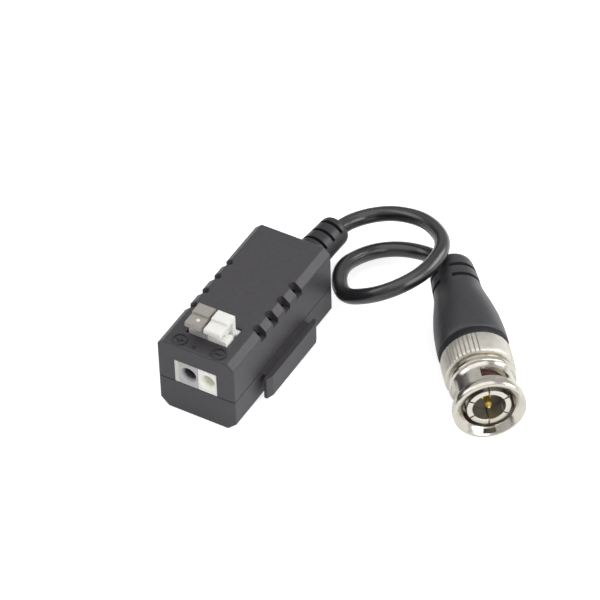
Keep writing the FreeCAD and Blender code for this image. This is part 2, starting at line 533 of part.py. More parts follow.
# Strain relief and the cable's stripped end inside the case
def strain_relief():
    body = turned("relief_blank", [
        ("relief_neck", "-wall - 0.35"), ("relief_flange", "-wall - 0.35"), ("relief_flange", "-wall - 1.35"),
        ("0", "-wall - 1.35"), ("0", "relief_end"), ("relief_waist", "relief_end"),
        ("relief_waist", "ring_first"), ("relief_base", "0.35"),
        ("relief_neck", "0.35")])
    tunnel = rod("relief_tunnel", "0", "0", "-4 * wall", "cable_radius", "relief_end + 5 * wall")
    slots = []
    for i in range(3):
        for side, turn in (("top", "180"), ("under", "0")):
            slots.append(ring_part(f"relief_slot_{i}_{side}", f"ring_first + ring_pitch * {i}", "ring_wide",
                                   "relief_waist - ring_deep", "relief_waist + 1",
                                   f"{turn} - ring_sweep / 2", "ring_sweep"))
    keep(place(cut("relief_body", body, tunnel, *slots), *CABLE), "strain_relief")
    end = "relief_end - cable_grip"
    stub = turned("stub_body", [
        ("0", end), ("cable_radius", end), ("cable_radius", "-wall - 2"), ("foam_radius", "-wall - 2"),
        ("foam_radius", "-wall - 3"), ("core_wire", "-wall - 3"), ("core_wire", "-board_back"),
        ("0", "-board_back")])
    keep(place(stub, *CABLE), "cable_stub")


# Cable: straight runs joined by tangent arcs
def cable_points():
    size = {alias: dims.get(alias) for alias, value in SIZES}
    lean = math.radians(size["lean"])
    out = FreeCAD.Vector(math.sin(lean), math.cos(lean), 0)
    root = FreeCAD.Vector(-math.tan(lean) * size["lean_pivot"], size["case_length"] / 2, size["cable_z"])
    turn = math.radians(size["heading"])
    ahead = FreeCAD.Vector(math.cos(turn), math.sin(turn), 0)
    mouth = FreeCAD.Vector(size["plug_x"], size["plug_y"], size["rim_radius"])
    start = [root + out * (size["relief_end"] - size["cable_grip"]), root + out * ROUTE_LEAVES_RELIEF]
    finish = [mouth - ahead * ROUTE_MEETS_PLUG, mouth - ahead * size["boot_grip"]]
    return start + [FreeCAD.Vector(*point) for point in ROUTE] + finish


def cable():
    points = cable_points()
    radius = dims.get("cable_radius")
    edges = []
    radii = []
    here = points[0]
    for before, corner, after in zip(points, points[1:], points[2:]):
        back = (before - corner).normalize()
        on = (after - corner).normalize()
        reach = 0.45 * min(before.distanceToPoint(corner), after.distanceToPoint(corner))
        half_turn = (math.pi - back.getAngle(on)) / 2
        bend = reach / math.tan(half_turn)
        radii.append(bend)
        first = corner + back * reach
        last = corner + on * reach
        middle = (back + on).normalize()
        crown = corner + middle * (bend / math.cos(half_turn) - bend)
        edges.append(Part.LineSegment(here, first).toShape())
        edges.append(Part.Arc(first, crown, last).toShape())
        here = last
    edges.append(Part.LineSegment(here, points[-1]).toShape())
    path = Part.Wire(edges)
    ahead = (points[1] - points[0]).normalize()
    across = ahead.cross(FreeCAD.Vector(0, 0, 1)).normalize()
    rise = across.cross(ahead)
    corners = []
    for i in range(SIDES + 1):
        turn = 2 * math.pi * i / SIDES
        corners.append(points[0] + across * (radius * math.cos(turn)) + rise * (radius * math.sin(turn)))
    tube = path.makePipeShell([Part.makePolygon(corners)], True, False)
    section = SIDES / 2 * radius ** 2 * math.sin(2 * math.pi / SIDES)
    item = doc.addObject("Part::Feature", "cable_body")
    item.Shape = tube
    print("cable radii", [round(bend, 2) for bend in radii])
    print("cable volume", round(tube.Volume, 2), "of", round(section * path.Length, 2))
    keep(item, "cable")


# Bayonet plug: all its pieces turn about one axis and are drawn back from the mouth
def coupling_nut():
    blank = turned("nut_blank", [
        ("mouth_radius", "0"), ("rim_radius", "0"), ("rim_radius", "-rim_thick"), ("nut_neck", "-rim_thick"),
        ("nut_neck", "-shoulder_start"), ("shoulder_radius", "-shoulder_start"),
        ("shoulder_radius", "-shoulder_end"), ("nut_neck", "-shoulder_end"), ("nut_neck", "-knurl_start"),
        ("knurl_radius", "-knurl_start"), ("knurl_radius", "-nut_length"), ("rear_bore", "-nut_length"),
        ("rear_bore", "-rib_back"), ("barrel_radius + turn_gap", "-rib_back"),
        ("barrel_radius + turn_gap", "-rib_front"), ("nut_bore", "-rib_front"),
        ("nut_bore", "-mouth_deep")])
    tools = []
    for i in range(3):
        tools.append(ring_part(f"nut_window_{i}", "-(window_front + window_back) / 2",
                               "window_back - window_front", "nut_bore - 0.3", "nut_neck + 1",
                               f"window_turn + {i} * 120", "window_sweep"))
        for j in range(int(dims.get("flutes"))):
            turn = f"window_turn + window_sweep + {i} * 120 + flute_step * ({j} + 0.35)"
            flute = extruded(f"flute_{i}_{j}", "XY_Plane", [
                ("knurl_radius - flute_deep", "0"), ("knurl_radius + flute_deep", "-flute_wide"),
                ("knurl_radius + flute_deep", "flute_wide")], "nut_length - knurl_start + 2")
            tools.append(place(flute, "0", "0", "-(nut_length + knurl_start + 1) / 2", turn))
    for i in range(2):
        notch = box(f"notch_{i}", "0", "-notch_width / 2", "-notch_deep", "notch_radius", "notch_width",
                    "notch_deep + 1")
        tools.append(place(notch, f"notch_width / 2 * sin({i} * 180)", f"-notch_width / 2 * cos({i} * 180)",
                           "-notch_deep", f"{i} * 180"))
        for j in range(int(dims.get("cam_steps"))):
            tools.append(ring_part(f"cam_{i}_{j}", f"notch_width / 2 - notch_deep - cam_rise * {j}",
                                   "notch_width", "nut_bore - 0.3", "notch_radius",
                                   f"{i} * 180 + cam_turn * {j}", "cam_turn + 2"))
    keep(place(cut("nut_body", blank, *tools), *PLUG), "coupling_nut")


def plug_body():
    groove_front = "-rib_back - washer_gap"
    blank = turned("shell_blank", [
        ("shell_bore", "-shell_front"), ("shell_radius", "-shell_front"), ("shell_radius", "-gasket_front"),
        ("barrel_radius", "-gasket_front"), ("barrel_radius", "-flange_front"),
        ("flange_radius", "-flange_front"), ("flange_radius", "-flange_back"),
        ("barrel_radius", "-flange_back"), ("barrel_radius", groove_front),
        ("barrel_radius - ring_groove", groove_front),
        ("barrel_radius - ring_groove", f"{groove_front} - ring_thick - washer_gap"),
        ("barrel_radius", f"{groove_front} - ring_thick - washer_gap"), ("barrel_radius", "-tail_start"),
        ("tail_radius", "-tail_start"), ("tail_radius", "-tail_end"), ("spigot_radius", "-tail_end"),
        ("spigot_radius", "-spigot_end"), ("foam_radius + turn_gap", "-spigot_end"),
        ("foam_radius + turn_gap", "-pin_end - 1"), ("shell_bore", "-pin_end - 1")])
    slits = []
    for i in range(int(dims.get("slits"))):
        slit = box(f"slit_{i}", "0", "0", "0", "shell_radius + 1", "slit", "slit_end")
        turn = f"{i} * 360 / slits + slit_turn"
        slits.append(place(slit, f"slit / 2 * sin({turn})", f"-slit / 2 * cos({turn})", "-slit_end", turn))
    keep(place(cut("shell_body", blank, *slits), *PLUG), "plug_body")


def plug_inside():
    keep(place(turned("dielectric_body", [
        ("pin_body", "-dielectric_front"), ("shell_bore - dielectric_gap", "-dielectric_front"),
        ("shell_bore - dielectric_gap", "-dielectric_back"), ("pin_body", "-dielectric_back")]), *PLUG),
        "dielectric")
    keep(place(turned("pin_outline", [
        ("0", "-pin_front"), ("pin_radius * 0.4", "-pin_front"), ("pin_radius", "-pin_front - pin_taper"),
        ("pin_radius", "-dielectric_front"), ("pin_body", "-dielectric_front"), ("pin_body", "-pin_end"),
        ("0", "-pin_end")]), *PLUG), "centre_pin")
    keep(place(turned("gasket_body", [
        ("barrel_radius", "-gasket_front"), ("gasket_radius", "-gasket_front"),
        ("gasket_radius", "-flange_front"), ("barrel_radius", "-flange_front")]), *PLUG), "gasket")


def plug_washers():
    inner = "barrel_radius + washer_gap"
    keep(place(turned("washer_body", [
        (inner, "-rib_front"), ("washer_radius", "-rib_front"), ("washer_radius", "-rib_front + washer_thick"),
        (inner, "-rib_front + washer_thick")]), *PLUG), "thrust_washer")
    low = turned("wave_low", [
        (inner, "-flange_back"), ("washer_radius", "-flange_back"),
        ("washer_radius", "-flange_back - wave_thick"), (inner, "-flange_back - wave_thick")])
    crests = []
    for i in range(3):
        crest = rod(f"crest_{i}", "0", "0", "-rib_front + washer_thick", "washer_radius",
                    "rib_front - washer_thick - flange_back - wave_thick / 2", f"{i} * 120")
        crest.Angle = 24
        crests.append(crest)
    eye = rod("crest_eye", "0", "0", "-rib_front", inner, "rib_front - flange_back + 1")
    wave = fused("wave_body", low, cut("crests", fused("crest_set", *crests), eye))
    keep(place(wave, *PLUG), "wave_washer")
    start = "-rib_back - washer_gap * 1.5"
    keep(place(turned("ring_body", [
        (f"barrel_radius - ring_groove + 0.02", start), ("ring_outer", start),
        ("ring_outer", f"{start} - ring_thick"),
        ("barrel_radius - ring_groove + 0.02", f"{start} - ring_thick")]),
        *PLUG), "retaining_ring")


# The cable's stripped end in the plug: foam through the spigot, braid over it and under the ferrule
def plug_tail():
    over = "spigot_radius + turn_gap"
    braid = "spigot_radius + braid_thick"
    keep(place(turned("tail_body", [
        ("0", "-boot_grip"), ("cable_radius", "-boot_grip"), ("cable_radius", "-ferrule_end"),
        (braid, "-ferrule_end"), (braid, "-ferrule_start"), (over, "-ferrule_start"),
        (over, "-spigot_end - 0.2"), ("foam_radius", "-spigot_end - 0.2"), ("foam_radius", "-pin_end - 0.6"),
        ("core_wire", "-pin_end - 0.6"), ("core_wire", "-pin_end"), ("0", "-pin_end")]), *PLUG), "cable_tail")
    sleeve = f"{braid} + ferrule_thick"
    keep(place(turned("ferrule_body", [
        (braid, "-ferrule_start"), (sleeve, "-ferrule_start"), (sleeve, "-ferrule_end + 0.3"),
        (braid, "-ferrule_end + 0.3")]), *PLUG), "crimp_ferrule")


def boot():
    cup = "tail_radius + turn_gap"
    sleeve = "spigot_radius + braid_thick + ferrule_thick + turn_gap"
    blank = turned("boot_blank", [
        (cup, "-boot_front"), ("boot_bell", "-boot_front"), ("boot_bell", "-boot_front - bell_long"),
        ("boot_waist", "-boot_front - waist_long"), ("boot_waist", "-boot_end + tip_long"),
        ("boot_tip", "-boot_end + tip_long"), ("boot_tip", "-boot_end"), ("cable_radius", "-boot_end"),
        ("cable_radius", "-ferrule_end - 0.5"), (sleeve, "-ferrule_end - 0.5"), (sleeve, "-tail_end - 0.05"),
        (cup, "-tail_end - 0.05")])
    slots = []
    for i in range(2):
        for side in range(2):
            slots.append(ring_part(f"boot_slot_{i}_{side}", f"-slot_first - slot_pitch * {i}", "slot_wide",
                                   "boot_waist - slot_deep", "boot_waist + 2", f"slot_turn + {side} * 180",
                                   "slot_sweep"))
    keep(place(cut("boot_body", blank, *slots), *PLUG), "boot")


upper_case()
lower_case()
circuit_board()
transformer()
surge_tube()
film_capacitor()
for terminal_name, terminal_x in TERMINALS:
    block(terminal_name, terminal_x)
    lever(terminal_name, terminal_x)
    clamp(terminal_name, terminal_x)
    contact(terminal_name, terminal_x)
end_plate()
strain_relief()
cable()
coupling_nut()
plug_body()
plug_inside()
plug_washers()
plug_tail()
boot()
doc.recompute()

for item in doc.Objects:
    if "Invalid" in item.State or "Error" in item.State:
        raise RuntimeError(f"{item.Name} is {item.State}")
for item in nodes:
    if item.Shape.isNull() or not item.Shape.isValid() or item.Shape.Volume <= 0:
        raise RuntimeError(f"{item.Label} has no valid shape")

os.makedirs("parts", exist_ok=True)
for item in nodes:
    item.Shape.exportStep(f"parts/{item.Label}.step")
    spans = item.Shape.BoundBox
    print(f"{item.Label:20} {item.Shape.Volume:9.2f} mm3  {len(item.Shape.Solids)} solid  "
          f"x {spans.XMin:.2f}..{spans.XMax:.2f}  y {spans.YMin:.2f}..{spans.YMax:.2f}  "
          f"z {spans.ZMin:.2f}..{spans.ZMax:.2f}")
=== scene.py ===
from math import cos, radians, sin, sqrt, tan

import bmesh
import bpy
from mathutils import Matrix, Vector


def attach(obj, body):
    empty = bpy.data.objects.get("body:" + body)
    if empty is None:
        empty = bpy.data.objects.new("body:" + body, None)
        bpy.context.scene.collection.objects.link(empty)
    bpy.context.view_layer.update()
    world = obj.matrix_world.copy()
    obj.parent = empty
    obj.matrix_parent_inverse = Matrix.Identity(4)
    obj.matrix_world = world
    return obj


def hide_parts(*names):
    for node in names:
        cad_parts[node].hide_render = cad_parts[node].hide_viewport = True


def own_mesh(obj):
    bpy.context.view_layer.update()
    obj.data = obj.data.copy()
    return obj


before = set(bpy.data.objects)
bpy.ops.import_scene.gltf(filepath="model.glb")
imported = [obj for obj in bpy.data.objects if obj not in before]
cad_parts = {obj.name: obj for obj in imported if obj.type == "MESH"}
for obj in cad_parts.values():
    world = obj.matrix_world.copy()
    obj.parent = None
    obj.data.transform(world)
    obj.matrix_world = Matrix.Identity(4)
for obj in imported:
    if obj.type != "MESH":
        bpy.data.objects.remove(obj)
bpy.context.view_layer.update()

# The studio: a pale floor, a surround that is white to the camera and banded in grays to bright metal,
# and four soft panels. The camera stands where the photograph's did, a long lens looking down at the
# case's front corner.


class Shade:
    """One output of a finish's nodes, used in sums like a number."""

    def __init__(self, tree, socket=None):
        self.tree = tree
        self.socket = socket

    def node(self, kind, settings=None, inputs=None, output=0):
        made = self.tree.nodes.new("ShaderNode" + kind)
        for name, value in (settings or {}).items():
            if name == "stops":
                stops = made.color_ramp.elements
                while len(stops) < len(value):
                    stops.new(0.5)
                for stop, (place, colour) in zip(stops, value):
                    stop.position = place
                    stop.color = (*colour, 1)
            else:
                setattr(made, name, value)
        for name, value in (inputs or {}).items():
            if isinstance(value, Shade):
                self.tree.links.new(value.socket, made.inputs[name])
            else:
                made.inputs[name].default_value = value
        return Shade(self.tree, made.outputs[output] if made.outputs else None)

    def part(self, axis):
        """One coordinate of a vector."""
        return self.node("SeparateXYZ", {}, {"Vector": self}, output=axis)

    def mix(self, share, first, second):
        """A colour that goes from first to second as share goes from nought to one."""
        return self.node("Mix", {"data_type": "RGBA"}, {0: share, 6: first, 7: second}, output=2)

    def maths(self, operation, first, second):
        return self.node("Math", {"operation": operation}, {0: first, 1: second})

    def __add__(self, other):
        return self.maths("ADD", self, other)

    def __radd__(self, other):
        return self.maths("ADD", other, self)

    def __rsub__(self, other):
        return self.maths("SUBTRACT", other, self)

    def __mul__(self, other):
        return self.maths("MULTIPLY", self, other)

    def __gt__(self, other):
        return self.maths("GREATER_THAN", self, other)


def paint(code):
    """The linear colour of a hexadecimal one."""
    values = [int(code[i:i + 2], 16) / 255 for i in (0, 2, 4)]
    return tuple(v / 12.92 if v < 0.04045 else ((v + 0.055) / 1.055) ** 2.4 for v in values)


def new_finish(name):
    finish = bpy.data.materials.new(name)
    finish.use_nodes = True
    finish.node_tree.nodes.clear()
    return finish, Shade(finish.node_tree)


scene = bpy.context.scene
scene.view_settings.view_transform = "Standard"

FLOOR_HALF = 3
FLOOR_SEEN, FLOOR_MIRRORED, FLOOR_THROUGH = 0.66, 0.25, 0.5
WHITE = (1, 1, 1, 1)
floor_finish, tree = new_finish("pale_floor")
seen = tree.node("LightPath", output="Is Camera Ray")
mirrored = tree.node("LightPath", output="Is Glossy Ray")
through = tree.node("LightPath", output="Is Transmission Ray")
strength = seen * FLOOR_SEEN + mirrored * FLOOR_MIRRORED + through * FLOOR_THROUGH
glow = tree.node("Emission", {}, {"Color": WHITE, "Strength": strength})
matt = tree.node("BsdfDiffuse", {}, {"Color": (*paint("E6E6E6"), 1)})
both = tree.node("AddShader", {}, {0: glow, 1: matt})
tree.node("OutputMaterial", {}, {"Surface": both})

floor_mesh = bpy.data.meshes.new("floor")
floor_mesh.from_pydata([(x * FLOOR_HALF, y * FLOOR_HALF, 0) for x, y in ((-1, -1), (1, -1), (1, 1), (-1, 1))],
                       [], [(0, 1, 2, 3)])
floor = bpy.data.objects.new("floor", floor_mesh)
floor.data.materials.append(floor_finish)
scene.collection.objects.link(floor)

ROOM_GRAY = 0.36
BANDS = ((0.0, 0.02), (0.28, 0.04), (0.34, 0.62), (0.5, 0.64), (0.7, 0.48), (1.0, 0.52))
BAND_RISE, BAND_LEAN, BAND_SHIFT = 0.7, 0.25, 0.25
world = bpy.data.worlds.new("surround")
world.use_nodes = True
world.node_tree.nodes.clear()
sky = Shade(world.node_tree)
seen = sky.node("LightPath", output="Is Camera Ray")
mirrored = sky.node("LightPath", output="Is Glossy Ray")
facing = sky.node("TexCoord", output="Generated")
height = facing.part("Z") * BAND_RISE + facing.part("X") * BAND_LEAN + BAND_SHIFT
stops = [(place, (gray, gray, gray)) for place, gray in BANDS]
bands = sky.node("ValToRGB", {"stops": stops}, {"Fac": height})
room = sky.mix(seen, sky.mix(mirrored, (ROOM_GRAY, ROOM_GRAY, ROOM_GRAY, 1), bands), WHITE)
air = sky.node("Background", {}, {"Color": room, "Strength": 1.0})
sky.node("OutputWorld", {}, {"Surface": air})
scene.world = world

for lamp_name, spot, aim, size, power in (
        ("panel_above", (-0.05, -0.05, 0.55), (0.02, 0.0, 0), (0.8, 0.7), 1.7),
        ("panel_right", (0.5, -0.1, 0.3), (0.02, 0.0, 0.01), (0.5, 0.4), 1.75),
        ("panel_back", (0.4, 0.4, 0.28), (0.02, 0.0, 0.01), (0.4, 0.3), 1.5),
        ("panel_left", (-0.5, -0.1, 0.3), (0.02, 0.0, 0.01), (0.3, 0.3), 0.5)):
    lamp_data = bpy.data.lights.new(lamp_name, "AREA")
    lamp_data.shape = "RECTANGLE"
    lamp_data.size, lamp_data.size_y = size
    lamp_data.energy = power
    lamp = bpy.data.objects.new(lamp_name, lamp_data)
    lamp.location = spot
    lamp.rotation_euler = (Vector(aim) - Vector(spot)).to_track_quat("-Z", "Y").to_euler()
    scene.collection.objects.link(lamp)

# The camera's place is measured in its own directions, from the foot of the case's front face.
CAMERA_TURN, CAMERA_RISE, CAMERA_TILT = 31.35, 43.302, -2.057
CAMERA_RIGHT, CAMERA_UP, CAMERA_BACK = 0.019896, 0.022973, 0.7988
CASE_FRONT = (0, -0.01905, 0)
turn, rise, tilt = radians(CAMERA_TURN), radians(CAMERA_RISE), radians(CAMERA_TILT)
back = Vector((sin(turn) * cos(rise), -cos(turn) * cos(rise), sin(rise)))
right = Vector((0, 0, 1)).cross(back).normalized()
up = back.cross(right)
right, up = right * cos(tilt) + up * sin(tilt), up * cos(tilt) - right * sin(tilt)
camera = bpy.data.objects.new("camera", bpy.data.cameras.new("camera"))
camera.data.sensor_width = 36
camera.data.lens = 244.97
camera.data.clip_start = 0.05
stand = right * CAMERA_RIGHT + up * CAMERA_UP + back * CAMERA_BACK + Vector(CASE_FRONT)
camera.matrix_world = Matrix.Translation(stand) @ Matrix((right, up, back)).transposed().to_4x4()
scene.collection.objects.link(camera)
scene.camera = camera

# The cable: a limp coaxial lead with a glossy black jacket, moulded into the strain relief and into the
# boot. It leaves the relief level, climbs over its own loop and comes back under itself to the plug.
CABLE_THICK = 0.0032
ROUTE = [
    (0.000572, 0.029125, 0.0075), (0.000991, 0.035121, 0.0075), (0.0043, 0.04105, 0.00728),
    (0.01061, 0.04278, 0.00936), (0.01865, 0.04136, 0.01154), (0.0258, 0.03529, 0.01334),
    (0.02639, 0.02672, 0.01362), (0.02379, 0.02057, 0.01313), (0.01822, 0.01799, 0.00999),
    (0.01073, 0.01875, 0.0058), (0.00555, 0.02689, 0.00502), (0.00753, 0.0356, 0.00305),
    (0.01256, 0.0397, 0.00297), (0.01929, 0.04032, 0.00371), (0.026226, 0.035938, 0.00725),
    (0.030001, 0.031275, 0.00725),
]
CLOUD_SCALE = 900


def shine(name, colour, roughness, metallic=0.0, bump=None, height=0.00001, wander=0.1, tint=None, **fixed):
    """A finish whose tone and gloss wander a little over the surface, with an optional bump. tint
    is a colour of painted shade and the function that says how much of it is laid on at a place."""
    finish, tree = new_finish(name)
    place = tree.node("TexCoord", output="Object")
    cloud = tree.node("TexNoise", {}, {"Vector": place, "Scale": CLOUD_SCALE, "Detail": 4.0,
                                       "Roughness": 0.6})
    dark = tuple(v * (1 - wander) for v in colour)
    light = tuple(min(1, v * (1 + wander)) for v in colour)
    tone = tree.node("ValToRGB", {"stops": [(0.35, dark), (0.65, light)]}, {"Fac": cloud})
    # Painted shade: the second colour is mixed over the tone as far as its function says.
    if tint:
        second, share = tint
        tone = tree.mix(share(tree, place), tone, (*second, 1))
    gloss = roughness * (1 - wander) + cloud * (roughness * wander * 2)
    inputs = {"Base Color": tone, "Roughness": gloss, "Metallic": metallic, **fixed}
    if bump:
        inputs["Normal"] = tree.node("Bump", {}, {"Height": bump(tree, place), "Strength": 1.0,
                                                  "Distance": height})
    shader = tree.node("BsdfPrincipled", {}, inputs)
    tree.node("OutputMaterial", {}, {"Surface": shader})
    return finish


def faint_grain(tree, place):
    return tree.node("TexNoise", {}, {"Vector": place, "Scale": 3500.0, "Detail": 2.0})


jacket = shine("black_jacket", paint("131316"), 0.34, bump=faint_grain, height=0.000006,
               **{"Coat Weight": 0.8, "Coat Roughness": 0.2})
cable_curve = bpy.data.curves.new("pigtail", "CURVE")
cable_curve.dimensions = "3D"
cable_curve.bevel_depth = CABLE_THICK / 2
cable_curve.bevel_resolution = 10
cable_curve.resolution_u = 20
cable_curve.use_fill_caps = True
line = cable_curve.splines.new("NURBS")
line.points.add(len(ROUTE) - 1)
for point, spot in zip(line.points, ROUTE):
    point.co = (*spot, 1)
line.order_u = 3
line.use_endpoint_u = True
cable_curve.materials.append(jacket)
cable = bpy.data.objects.new("pigtail", cable_curve)
scene.collection.objects.link(cable)
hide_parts("cable")
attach(cable, "housing")

# The cable's two ends, one inside the case and one crimped in the plug. Both are hidden once the case's
# halves and the boot are on.


def dress(node, finish, edge=0.0, steps=2):
    """Gives a solid its finish and, where edge is set, rounds its sharp edges by that much."""
    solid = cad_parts[node]
    solid.data.materials.clear()
    solid.data.materials.append(finish)
    if edge:
        rounding = solid.modifiers.new("edges", "BEVEL")
        rounding.width = edge
        rounding.segments = steps
        rounding.limit_method = "ANGLE"
        rounding.angle_limit = radians(40)
        rounding.use_clamp_overlap = False
        rounding.harden_normals = True


dress("cable_stub", jacket)
dress("cable_tail", jacket)

# The strain relief: a soft black moulding that tapers from the case to the cable, slotted above and
# below in three rings so that it bends, with a neck and flange clamped between the case halves.
MM = 0.001
SHARP_ANGLE = 32
SLOT_EDGE, SLOT_EDGE_CLEAR = 0.35, 0.9
SLOT_WALL_INSIDE, SLOT_WALL_OUTSIDE = -0.01, 0.06


def on_axis(origin, heading):
    """The place of a turned piece, from an origin in millimetres: z runs along the axis, x points down
    and y to the left."""
    ahead = Vector((cos(radians(heading)), sin(radians(heading)), 0))
    left = Vector((-sin(radians(heading)), cos(radians(heading)), 0))
    place = [length * MM for length in origin]
    return Matrix.Translation(place) @ Matrix(((0, 0, -1), left, ahead)).transposed().to_4x4()


def along(profile, place):
    """The radius of a profile of (place, radius) pairs at one place."""
    for (a, ra), (b, rb) in zip(profile, profile[1:]):
        if a <= place <= b:
            return ra + (rb - ra) * (place - a) / (b - a)
    return profile[0][1] if place < profile[0][0] else profile[-1][1]


def places(*profiles):
    return {place for profile in profiles for place, radius in profile}


def off(angle, centre):
    """How far an angle lies from another, either way round."""
    return abs((angle - centre + 180) % 360 - 180)


def within(angle, start, sweep):
    return (angle - start) % 360 <= sweep


def around(step, *edges):
    """Angles round a piece, with a pair close to each edge of a slot."""
    angles = {round(i * step, 3) for i in range(int(360 / step))}
    for edge in edges:
        angles = {a for a in angles if off(a, edge) > SLOT_EDGE_CLEAR}
        angles |= {round((edge + side * SLOT_EDGE) % 360, 3) for side in (-1, 1)}
    return sorted(angles)


def plain(profile):
    """A radius for turned() that only follows a profile."""
    def radius(place, angle):
        return along(profile, place) * MM
    return radius


def slotted(profile, rings, half, depth, starts, sweep):
    """A radius for turned() that follows a profile but is cut to depth in rings of slots."""
    def radius(place, angle):
        in_ring = any(abs(place - ring) < half for ring in rings)
        if in_ring and any(within(angle, start, sweep) for start in starts):
            return depth * MM
        return along(profile, place) * MM
    return radius


def slot_rows(rings, half):
    """Places just inside and outside both edges of each ring of slots."""
    return {ring + side * (half + step) for ring in rings for side in (-1, 1)
            for step in (SLOT_WALL_INSIDE, SLOT_WALL_OUTSIDE)}


def placed(name, mesh, finish, body, node=None):
    """A piece of the scene from a bmesh, on the body that it rides and, where node is given, in place
    of that solid."""
    data = bpy.data.meshes.new(name)
    mesh.to_mesh(data)
    mesh.free()
    data.materials.append(finish)
    piece = bpy.data.objects.new(name, data)
    scene.collection.objects.link(piece)
    if node:
        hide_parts(node)
    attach(piece, body)
    return piece


def turned(name, rows, angles, outside, inside, axis, station, finish, body, node, hole=None):
    """A tube on an axis. outside and inside give its radii, station gives each row's place along the
    axis, and hole says which cells of its wall are cut through."""
    mesh = bmesh.new()
    layers = []
    for radius in (outside, inside):
        grid = []
        for row in rows:
            ring = []
            for angle in angles:
                r = radius(row, angle)
                spot = Vector((r * cos(radians(angle)), r * sin(radians(angle)), station(row, angle)))
                ring.append(mesh.verts.new(axis @ spot))
            grid.append(ring)
        layers.append(grid)
    outer, inner = layers
    last = len(rows) - 1
    count = len(angles)
    cells = [(i, j) for i in range(last) for j in range(count)]
    gone = set()
    if hole:
        for i, j in cells:
            step = (angles[(j + 1) % count] - angles[j]) % 360
            if hole((rows[i] + rows[i + 1]) / 2, (angles[j] + step / 2) % 360):
                gone.add((i, j))
    for i, j in cells:
        if (i, j) in gone:
            continue
        k = (j + 1) % count
        mesh.faces.new((outer[i][j], outer[i][k], outer[i + 1][k], outer[i + 1][j]))
        mesh.faces.new((inner[i][k], inner[i][j], inner[i + 1][j], inner[i + 1][k]))
        for beside, (ai, aj), (bi, bj) in (
                ((i - 1, j), (i, j), (i, k)), ((i + 1, j), (i + 1, k), (i + 1, j)),
                ((i, (j - 1) % count), (i + 1, j), (i, j)), ((i, k), (i, k), (i + 1, k))):
            if beside in gone or beside[0] in (-1, last):
                mesh.faces.new((outer[bi][bj], outer[ai][aj], inner[ai][aj], inner[bi][bj]))
    bmesh.ops.recalc_face_normals(mesh, faces=mesh.faces)
    piece = placed(name, mesh, finish, body, node)
    piece.data.shade_smooth()
    piece.data.set_sharp_from_angle(angle=radians(SHARP_ANGLE))
    return piece


# The relief leans 4 degrees off the case's length and crosses its middle line 1.9 mm behind the case.
CASE_BACK, CABLE_HEIGHT = 19.05, 7.5
RELIEF_HEADING, RELIEF_CROSSES = 86, 1.9
RELIEF_AXIS = on_axis((-tan(radians(90 - RELIEF_HEADING)) * RELIEF_CROSSES, CASE_BACK, CABLE_HEIGHT),
                      RELIEF_HEADING)
RELIEF = [(-2.65, 3.55), (-2.5, 3.7), (-1.8, 3.7), (-1.65, 3.6), (-1.6, 2.6), (0.3, 2.6), (0.36, 3.9),
          (0.5, 4.08), (0.8, 4.1), (2, 3.98), (4, 3.8), (6, 3.62), (8, 3.48), (10, 3.39), (12, 3.34),
          (14, 3.3), (14.6, 3.25), (15, 3.1), (15.2, 2.85), (15.25, 2.5)]
RELIEF_BORE = [(-2.65, 1.62), (13.05, 1.62), (15.25, 1.92)]
RELIEF_RINGS = (7.5, 10.35, 13.2)
RELIEF_SLOT_HALF, RELIEF_SLOT_DEPTH, RELIEF_SLOT_SWEEP = 0.34, 2.5, 114
RELIEF_SLOTS = (-57, 123)
relief_edges = [start + sweep for start in RELIEF_SLOTS for sweep in (0, RELIEF_SLOT_SWEEP)]
relief_rows = sorted(places(RELIEF, RELIEF_BORE) | slot_rows(RELIEF_RINGS, RELIEF_SLOT_HALF))
relief_outside = slotted(RELIEF, RELIEF_RINGS, RELIEF_SLOT_HALF, RELIEF_SLOT_DEPTH, RELIEF_SLOTS,
                         RELIEF_SLOT_SWEEP)


def relief_station(place, angle):
    return place * MM


relief_rubber = shine("relief_rubber", paint("242427"), 0.42, bump=faint_grain, height=0.00001)
turned("relief", relief_rows, around(5, *relief_edges), relief_outside, plain(RELIEF_BORE), RELIEF_AXIS,
       relief_station, relief_rubber, "housing", "strain_relief")

# The case: two moulded halves of dark grey plastic with a fine spark-eroded grain, lapped at the seam.
# The vents, the windows for the terminals and the joining rail are moulded in.


def spark_grain(tree, place):
    fine = tree.node("TexNoise", {}, {"Vector": place, "Scale": 5200.0, "Detail": 3.0, "Roughness": 0.7})
    broad = tree.node("TexNoise", {}, {"Vector": place, "Scale": 1400.0, "Detail": 2.0})
    return fine * 0.7 + broad * 0.3


case_plastic = shine("case_plastic", paint("3B393D"), 0.46, bump=spark_grain, height=0.00004, wander=0.08)
dress("upper_case", case_plastic)
dress("lower_case", case_plastic)

# The marks in front of the levers: a ringed plus, a ringed minus and a dot between them, moulded a
# little proud of the case's roof.
ROOF, MARK_HEIGHT, MARK_ROOT = 0.01765, 0.00022, 0.00005
MARK_Y = -0.01723
PLUS_X, MINUS_X = -0.00434, 0.00439
RING_OUTER, RING_INNER = 0.0016, 0.00125
BAR_LENGTH, BAR_WIDTH = 0.0013, 0.00038
ARM_OFFSET, ARM_LENGTH = 0.00042, 0.00046
DOT, DOT_RADIUS, DOT_SIDES = (-0.00092, MARK_Y - 0.0005), 0.00035, 16


def circle(x, y, radius, count=40):
    return [(x + radius * cos(radians(360 * i / count)), y + radius * sin(radians(360 * i / count)))
            for i in range(count)]


def bar(x, y, length, width):
    return [(x - length / 2, y - width / 2), (x + length / 2, y - width / 2),
            (x + length / 2, y + width / 2), (x - length / 2, y + width / 2)]


